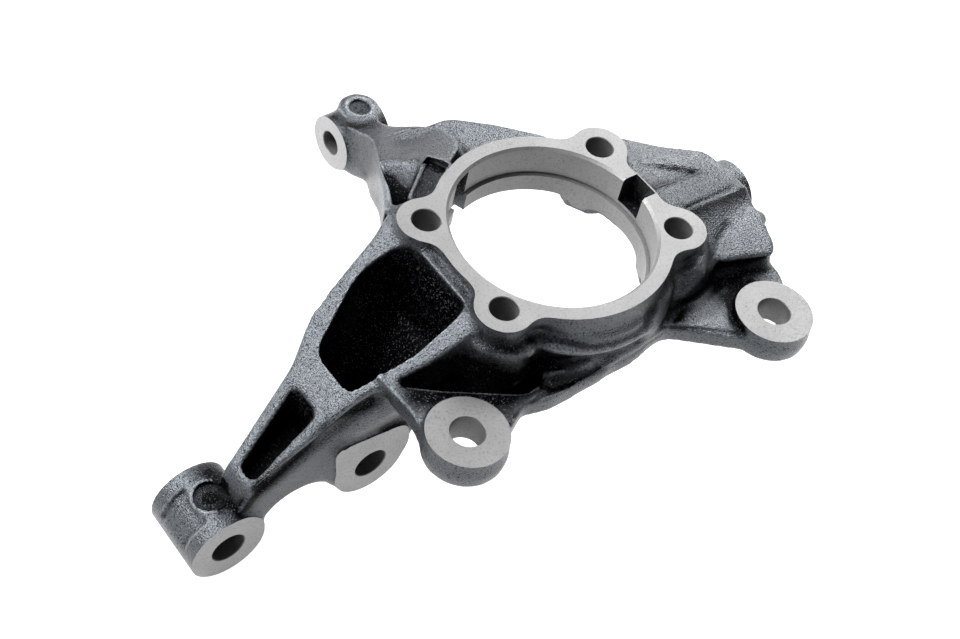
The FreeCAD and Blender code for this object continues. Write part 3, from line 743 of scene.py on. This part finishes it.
def coated_iron(name, closed, opened, grain_depth):
    """Black coat with painted shade: its colour and shine are drawn darker where the openness is low. closed
    and opened: the openness where it is dull and where it shines in full.
    """
    material, shader = material_nodes(name)
    link = material.node_tree.links.new
    place = object_place(material)
    grain = noise(material, place, 1500, 2, 0.6)
    pits = noise(material, place, 1200, 1, 0.5)
    peel = noise(material, place, 260, 2, 0.5)
    broad = noise(material, place, 40, 2, 0.5)
    open_sky = mesh_layer(material, "open")

    # Painted shade: the coat's colour and shine darken with the openness, in hollows, creases and under
    # overhangs
    hollow = ramp(material, open_sky, [(closed, 0.0), (opened, 1.0)])
    pit = ramp(material, pits, [(0.31, 0.12), (0.41, 1.0)])
    shade = ramp(material, broad, [(0.35, COAT_DARK), (0.65, COAT_LIGHT)])
    dark = times(material, times(material, shade, hollow), pit)
    # Painted highlights: small light specks drawn into the coat's colour where it is open
    painted_glint = ramp(material, noise(material, place, 1300, 1, 0.5), [(0.62, 0.0), (0.68, 1.0)])
    painted_glint = times(material, painted_glint, ramp(material, open_sky, [(0.1, 0.0), (0.5, 1.0)]))
    dark = mixed(material, "MIX", painted_glint, dark, PAINTED_GLINT)
    # Edge wear that is also a painted highlight: convex edges are drawn lighter, in patches
    edge_wear_and_highlight = ramp(material, mesh_layer(material, "edge"), [(0.66, 0.0), (0.82, 1.0)])
    edge_patches = ramp(material, noise(material, place, 1100, 2, 0.6), [(0.38, 0.15), (0.60, 1.0)])
    edge_wear_and_highlight = times(material, edge_wear_and_highlight, edge_patches)
    link(mixed(material, "MIX", edge_wear_and_highlight, dark, WORN_IRON_AND_HIGHLIGHT), shader.inputs["Base Color"])

    link(ramp(material, broad, [(0.3, 0.25), (0.7, 0.33)]), shader.inputs["Roughness"])
    mottle = ramp(material, grain, [(0.34, 0.72), (0.54, 1.0)])
    gloss = times(material, times(material, hollow, pit), mottle)
    link(ramp(material, gloss, [(0.0, 0.03), (1.0, 1.0)]), shader.inputs["Specular IOR Level"])
    shader.inputs["Specular Tint"].default_value = (*COAT_SHEEN, 1)

    skin = bump(material, peel, 0.5, 0.2)
    skin = bump(material, pits, 0.6, 0.4, skin)
    skin = bump(material, grain, 0.8, grain_depth, skin)
    link(skin, shader.inputs["Normal"])
    return material


def machined_iron(name, low, high):
    """Bare iron, with a brightness that wanders between low and high."""
    material, shader = material_nodes(name)
    link = material.node_tree.links.new
    place = object_place(material)
    grain = noise(material, place, 1500, 3, 0.65)
    broad = noise(material, place, 60, 3, 0.5)
    flecks = noise(material, place, 900, 2, 0.6)
    shade = ramp(material, broad, [(0.3, (low, low, low)), (0.7, (high, high, high))])
    speck = ramp(material, flecks, [(0.30, 0.72), (0.48, 1.0)])
    link(times(material, shade, speck), shader.inputs["Base Color"])
    link(ramp(material, grain, [(0.3, 0.42), (0.7, 0.58)]), shader.inputs["Roughness"])
    link(bump(material, grain, 0.4, 0.15), shader.inputs["Normal"])
    shader.inputs["Metallic"].default_value = 0.6
    return material


black = coated_iron("coated_cast_iron", 0.62, 0.94, 0.5)
pitted = coated_iron("pitted_cast_iron", 0.30, 1.0, 1.6)
bare = machined_iron("machined_iron", 0.105, 0.125)
# Painted light: the side faces get a lighter copy of the machined iron, drawn brighter than the hub face
faced_painted_light = machined_iron("faced_iron_painted_light", 0.28, 0.32)
drilled = machined_iron("drilled_iron", 0.10, 0.14)
bored = machined_iron("bored_iron", 0.19, 0.22)


# Machined cuts

CUT = 2 * STOCK         # thickness of a facing cut, past the stock
CLEAR = 2.0             # height of the cast cutters above the hub face


def hole(radius, low, high, axis, centre):
    """Drill with a small break at both mouths."""
    edge = 0.35
    past = 3.0
    return turned([
        (radius + edge + past, low - past),
        (radius, low + edge),
        (radius, high - edge),
        (radius + edge + past, high + past),
    ], axis, centre)


def machine_ears(item):
    for name, ear in zip(("caliper_ear_upper", "caliper_ear_lower"), ears):
        centre = (ear[0], ear[1], 0)
        cut(item, rod(ear_disc + 3.5, ear_face, ear_face + CUT, up, centre), bare)
        cut(item, hole(radius_of(name), flange_bottom, ear_face, up, centre), drilled)


def machine_strut(item):
    top, low = struts
    reach = strut_pad_reach
    for inner, outer in ((strut_face, strut_face + CUT), (strut_back - CUT, strut_back)):
        upper = block((inner, top[1] - reach, top[2] - reach), (outer, top[1] + reach, top[2] + reach + 2))
        cut(item, upper, faced_painted_light)
        lower = block((inner, low[1] - reach, low[2] - reach - 2), (outer, low[1] + reach, pad_top))
        cut(item, lower, faced_painted_light)
    for name, strut in zip(("strut_top", "strut_low"), struts):
        cut(item, hole(radius_of(name), strut_back, strut_face, (1, 0, 0), (0, strut[1], strut[2])), drilled)


def machine_tie(item):
    reach = tie_disc + 5
    for inner, outer in ((tie_face - CUT, tie_face), (tie_back, tie_back + CUT)):
        low = (tie[0] - reach, inner, tie[2] - reach)
        high = (tie[0] + reach, outer, tie[2] + reach)
        cut(item, block(low, high), faced_painted_light)
    cut(item, hole(radius_of("tie_rod"), tie_face, tie_back, (0, 1, 0), (tie[0], 0, tie[2])), drilled)


def machine_ball(item):
    cut(item, block((-30, ball_face, -60), (30, ball_face + CUT, 0)), faced_painted_light)
    radius = radius_of("ball_joint")
    cut(item, turned([
        (0.05, ball_bore_end - drill_tip),
        (radius, ball_bore_end),
        (radius, ball_face - ball_chamfer),
        (radius + STOCK, ball_face - ball_chamfer + STOCK),
    ], (0, 1, 0), (ball[0], 0, ball[2])), drilled)


def machine_hub(item):
    for centre in lobe_centres:
        cut(item, hole(hub["hole_r_mm"], lobe_bottom, 0.0, up, (*centre, 0)), drilled)
    lip = bore_radius - lip_step
    groove = bore_radius + groove_depth
    mouth = bore_radius + bore_chamfer
    sliver = 0.01
    cut(item, turned([
        (lip, lobe_bottom - 3),
        (lip, -bore_lip),
        (groove, -bore_lip + sliver),
        (groove, -bore_lip + groove_width),
        (bore_radius, -bore_lip + groove_width + sliver),
        (bore_radius, -bore_chamfer),
        (mouth, 0.0),
        (mouth + STOCK, STOCK),
    ], up, (0, 0, 0)), bored)


def machine(item):
    side = 200.0
    cut(item, block((-side, -side, 0), (side, side, CUT)), bare)
    machine_ears(item)
    machine_strut(item)
    machine_tie(item)
    machine_ball(item)
    machine_hub(item)


def cast_details(item):
    """Cast steps that stay crisp: notch, sensor window, lug recess, dimple and tie rod pad."""
    cut(item, block((-notch_half, notch_near, -notch_depth), (notch_half, notch_far, CLEAR)), black)
    window = block((window_near, -window_half, window_bottom), (ring_radius + 1.0, window_half, window_top))
    window.transform(Matrix.Rotation(math.radians(window_angle), 4, "Z"))
    cut(item, window, black)
    recess = rounded(inset(lug_outline, lug_edge), 2.0)
    mouth = [point for point in recess if math.hypot(*point) > ring_radius]
    cut(item, prism(mouth, lug_top - lug_recess, CLEAR), pitted)
    cut(item, prism(rounded(slot_outline, 1.2), lug_top - slot_depth, CLEAR), black)
    dimple = (boss_middle, struts[0][1], 0)
    cut(item, rod(dimple_radius, boss_crown - dimple_depth, boss_crown + 6, up, dimple), pitted)
    pad = (*tie_pad[:2], 0)
    cut(item, rod(tie_pad_recess, tie_pad[2] - tie_pad_depth, tie_pad[2] + 4, up, pad), pitted)


def thin_and_shade(item):
    """Brings the mesh under its count of triangles and sets its shading."""
    faces = sum(len(polygon.vertices) - 2 for polygon in item.data.polygons)
    thin = item.modifiers.new("thin", "DECIMATE")
    thin.ratio = min(1.0, TRIANGLES / faces)
    apply_modifiers(item)
    for polygon in item.data.polygons:
        polygon.use_smooth = True
    item.data.set_sharp_from_angle(angle=math.radians(SHARP_ANGLE))
    rate_shade(item.data)


casting = remeshed(casting_with_stock())
casting.data.materials.clear()
casting.data.materials.append(black)
machine(casting)
cast_details(casting)
thin_and_shade(casting)

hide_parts("knuckle")
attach(casting, "root")


# Floor, studio light and camera

FLOOR_DROP = 1.5
FLOOR_HALF = 3000
FLOOR_THICKNESS = 5


def light_table():
    """Pale floor that glows, as under a product photograph."""
    material, shader = material_nodes("light_table")
    shader.inputs["Base Color"].default_value = (0.3, 0.3, 0.3, 1)
    shader.inputs["Roughness"].default_value = 0.9
    shader.inputs["Emission Color"].default_value = (1, 1, 1, 1)
    shader.inputs["Emission Strength"].default_value = 1.0
    return material


floor_top = cad_box[0][2] / MM - FLOOR_DROP
floor_low = (-FLOOR_HALF, -FLOOR_HALF, floor_top - FLOOR_THICKNESS)
floor_mesh = block(floor_low, (FLOOR_HALF, FLOOR_HALF, floor_top))
floor_mesh.materials.append(light_table())
floor = new_object("floor", floor_mesh)


def soft_box(name, place, aim, width, height, power):
    """Area light. Place, aim and size are in metres, power in watts."""
    light = bpy.data.lights.new(name, "AREA")
    light.shape = "RECTANGLE"
    light.size = width
    light.size_y = height
    light.energy = power
    item = bpy.data.objects.new(name, light)
    bpy.context.scene.collection.objects.link(item)
    item.location = place
    item.rotation_mode = "QUATERNION"
    item.rotation_quaternion = (Vector(aim) - Vector(place)).to_track_quat("-Z", "Y")


soft_box("key", (-0.56, -0.58, 0.80), (0, -0.05, -0.03), 0.9, 1.1, 37)
soft_box("rear", (-0.43, 0.76, 0.66), (0, 0.075, 0), 0.75, 0.75, 23)

# The studio is dark near the horizon and pale overhead
SKY = 0.30
HORIZON = 0.02
SKY_FROM = 0.9          # sine of the elevation from which the sky is at its palest
world = bpy.data.worlds.new("studio")
world.use_nodes = True
background = world.node_tree.nodes["Background"]
background.inputs["Color"].default_value = (0.95, 0.97, 1.0, 1)
direction = add(world, "ShaderNodeTexCoord").outputs["Generated"]
elevation = add(world, "ShaderNodeSeparateXYZ", links=[(0, direction)]).outputs["Z"]
strength = add(world, "ShaderNodeMapRange", interpolation_type="SMOOTHSTEP", links=[("Value", elevation)],
               settings=[("From Min", 0.0), ("From Max", SKY_FROM), ("To Min", HORIZON), ("To Max", SKY)])
world.node_tree.links.new(strength.outputs["Result"], background.inputs["Strength"])
bpy.context.scene.world = world

# The photograph's camera: place in metres and directions of its axes
CAMERA_PLACE = (0.3453728, -0.4114250, 0.5375840)
CAMERA_RIGHT = (0.5876587, 0.7911100, 0.1697120)
CAMERA_DOWN = (0.6764915, -0.3653415, -0.6394411)
CAMERA_AHEAD = (-0.4438654, 0.4905819, -0.7498753)
SENSOR_WIDTH = 36.0
LENS = 67.489
camera_data = bpy.data.cameras.new("camera")
camera_data.sensor_width = SENSOR_WIDTH
camera_data.lens = LENS
camera = bpy.data.objects.new("camera", camera_data)
bpy.context.scene.collection.objects.link(camera)
axes = [CAMERA_RIGHT, [-value for value in CAMERA_DOWN], [-value for value in CAMERA_AHEAD], CAMERA_PLACE]
camera.matrix_world = Matrix([[*row] for row in zip(*axes)] + [[0, 0, 0, 1]])
bpy.context.scene.camera = camera
bpy.context.scene.view_settings.view_transform = "Standard"
